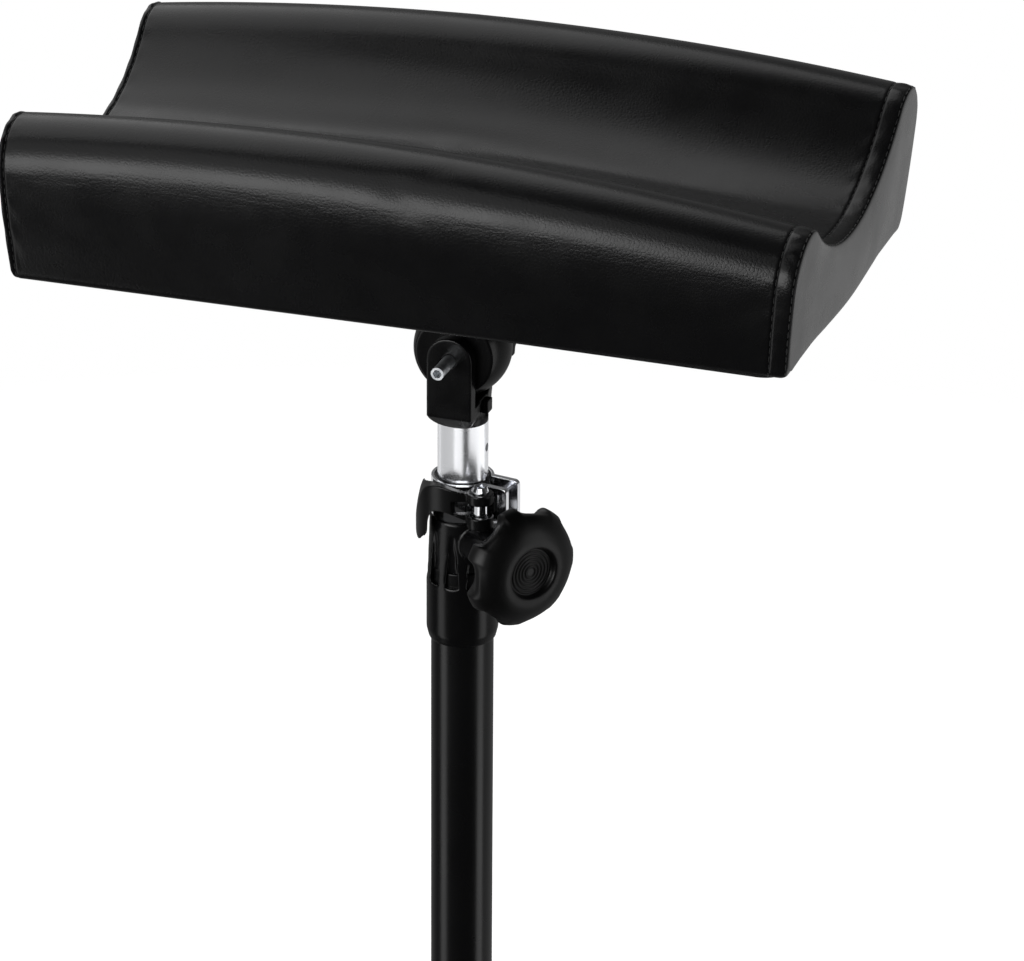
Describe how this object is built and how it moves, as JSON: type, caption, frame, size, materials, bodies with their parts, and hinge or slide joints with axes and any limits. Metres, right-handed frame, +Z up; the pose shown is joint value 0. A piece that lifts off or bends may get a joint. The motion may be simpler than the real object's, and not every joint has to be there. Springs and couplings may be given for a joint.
{
  "type": "tattoo arm rest stand",
  "caption": "Free-standing arm rest: padded trough on a tilting ball, telescopic mast with cam clamp and lock knob, folding tripod base.",
  "frame": {"origin": "centre of the sole under the pole, on the pole's axis at floor level", "axes": "+Z up along the pole, +X along the pad's length towards the right of the picture, -Y towards the front"},
  "size_m": [0.4648, 0.4058, 0.6895],
  "materials": {
    "black_leatherette": "satin, fine grain",
    "foam": "open cell",
    "plywood": "raw plywood",
    "black_cloth": "nonwoven",
    "black_painted_steel": "satin black powder coat",
    "gloss_black_steel": "gloss black",
    "chrome": "bright plated",
    "zinc_plated_steel": "zinc plated",
    "black_plastic": "moulded, semi-matt",
    "black_rubber": "moulded, matt",
    "brass": "turned"
  },
  "bodies": {
    "pole": {"outer_pole": "gloss_black_steel", "pole_foot": "black_rubber", "pole_collar": "black_plastic", "lock_insert": "brass", "clamp_band": "chrome", "cam_washer": "black_plastic", "clamp_bolt": "chrome", "clamp_washer": "zinc_plated_steel", "barrel_pin": "chrome", "barrel_screw": "chrome", "base_bracket": "black_plastic", "bracket_screw": "zinc_plated_steel", "brace_pins": "zinc_plated_steel"},
    "guide": {"tube_guide": "black_plastic"},
    "mast": {"inner_tube": "chrome", "yoke": "black_painted_steel", "stem_pin": "zinc_plated_steel", "side_screw": "black_painted_steel", "tilt_bolt": "chrome"},
    "pad": {"pad_cover": "black_leatherette", "pad_foam": "foam", "pad_board": "plywood", "pad_cloth": "black_cloth", "tee_nuts": "zinc_plated_steel", "pad_screws": "zinc_plated_steel", "mount_plate": "black_painted_steel", "tilt_ball": "black_plastic"},
    "tilt_washer": {"tilt_washer": "zinc_plated_steel"},
    "tilt_knob": {"tilt_knob": "black_plastic", "tilt_insert": "brass"},
    "cam_lever": {"cam_lever": "black_plastic"},
    "lock_shoe": {"lock_shoe": "brass"},
    "lock_knob": {"lock_knob": "black_plastic", "lock_knob_cap": "black_plastic", "lock_stud": "zinc_plated_steel"},
    "hub": {"leg_hub": "black_plastic", "hub_insert": "brass", "leg_pins": "zinc_plated_steel"},
    "hub_shoe": {"hub_shoe": "brass"},
    "hub_knob": {"hub_knob": "black_plastic", "hub_stud": "zinc_plated_steel"},
    "leg_1": {"leg_tube_1": "gloss_black_steel", "leg_eye_1": "black_plastic", "leg_foot_1": "black_rubber"},
    "brace_1": {"brace_1": "black_painted_steel", "brace_rivets_1": "zinc_plated_steel"},
    "leg_2": {"leg_tube_2": "gloss_black_steel", "leg_eye_2": "black_plastic", "leg_foot_2": "black_rubber"},
    "brace_2": {"brace_2": "black_painted_steel", "brace_rivets_2": "zinc_plated_steel"},
    "leg_3": {"leg_tube_3": "gloss_black_steel", "leg_eye_3": "black_plastic", "leg_foot_3": "black_rubber"},
    "brace_3": {"brace_3": "black_painted_steel", "brace_rivets_3": "zinc_plated_steel"}
  },
  "joints": [
    {"name": "mast_height", "type": "slide", "parent": "pole", "child": "guide", "axis": [0, 0, 1], "range_m": [-0.025, 0.255]},
    {"name": "mast_swivel", "type": "hinge", "parent": "guide", "child": "mast", "pos_m": [0, 0, 0.4], "axis": [0, 0, 1], "continuous": true},
    {"name": "pad_tilt", "type": "hinge", "parent": "mast", "child": "pad", "pos_m": [0, 0, 0.5595], "axis": [0, 1, 0], "range_deg": [-60, 60]},
    {"name": "tilt_knob_travel", "type": "slide", "parent": "mast", "child": "tilt_washer", "axis": [0, 1, 0], "range_m": [0, 0.00105]},
    {"name": "tilt_knob_turn", "type": "hinge", "parent": "tilt_washer", "child": "tilt_knob", "pos_m": [0, 0.03, 0.5595], "axis": [0, 1, 0], "range_deg": [0, 360]},
    {"name": "cam_lever_swing", "type": "hinge", "parent": "pole", "child": "cam_lever", "pos_m": [0.01484, -0.01754, 0.486], "axis": [0, 0, 1], "range_deg": [0, 90]},
    {"name": "lock_knob_travel", "type": "slide", "parent": "pole", "child": "lock_shoe", "axis": [0.8231, -0.5678, 0], "range_m": [0, 0.0013]},
    {"name": "lock_knob_turn", "type": "hinge", "parent": "lock_shoe", "child": "lock_knob", "pos_m": [0, 0, 0.4635], "axis": [0.8231, -0.5678, 0], "range_deg": [0, 360]},
    {"name": "leg_fold", "type": "slide", "parent": "pole", "child": "hub", "axis": [0, 0, 1], "range_m": [0, 0.11671]},
    {"name": "hub_knob_travel", "type": "slide", "parent": "hub", "child": "hub_shoe", "axis": [0, -1, 0], "range_m": [0, 0.00105]},
    {"name": "hub_knob_turn", "type": "hinge", "parent": "hub_shoe", "child": "hub_knob", "pos_m": [0, -0.03, 0.144], "axis": [0, -1, 0], "range_deg": [0, 360]},
    {"name": "leg_1_hinge", "type": "hinge", "parent": "hub", "child": "leg_1", "pos_m": [0, 0.027, 0.14], "axis": [-1, 0, 0], "range_deg": [0, 54]},
    {"name": "brace_1_hinge", "type": "hinge", "parent": "pole", "child": "brace_1", "pos_m": [0, 0.027, 0.022], "axis": [1, 0, 0], "range_deg": [0, 54]},
    {"name": "leg_2_hinge", "type": "hinge", "parent": "hub", "child": "leg_2", "pos_m": [-0.02338, -0.0135, 0.14], "axis": [0.5, -0.866, 0], "range_deg": [0, 54]},
    {"name": "brace_2_hinge", "type": "hinge", "parent": "pole", "child": "brace_2", "pos_m": [-0.02338, -0.0135, 0.022], "axis": [-0.5, 0.866, 0], "range_deg": [0, 54]},
    {"name": "leg_3_hinge", "type": "hinge", "parent": "hub", "child": "leg_3", "pos_m": [0.02338, -0.0135, 0.14], "axis": [0.5, 0.866, 0], "range_deg": [0, 54]},
    {"name": "brace_3_hinge", "type": "hinge", "parent": "pole", "child": "brace_3", "pos_m": [0.02338, -0.0135, 0.022], "axis": [-0.5, -0.866, 0], "range_deg": [0, 54]}
  ],
  "couplings": [
    {"joint": "tilt_knob_travel", "follows": "tilt_knob_turn", "m_per_rad": 0.00015915},
    {"joint": "lock_knob_travel", "follows": "lock_knob_turn", "m_per_rad": 0.00019894},
    {"joint": "hub_knob_travel", "follows": "hub_knob_turn", "m_per_rad": 0.00015915},
    {"joint": "leg_1_hinge", "follows": "leg_fold", "rad_per_m": 8.0755},
    {"joint": "brace_1_hinge", "follows": "leg_fold", "rad_per_m": 8.0755},
    {"joint": "leg_2_hinge", "follows": "leg_fold", "rad_per_m": 8.0755},
    {"joint": "brace_2_hinge", "follows": "leg_fold", "rad_per_m": 8.0755},
    {"joint": "leg_3_hinge", "follows": "leg_fold", "rad_per_m": 8.0755},
    {"joint": "brace_3_hinge", "follows": "leg_fold", "rad_per_m": 8.0755}
  ]
}
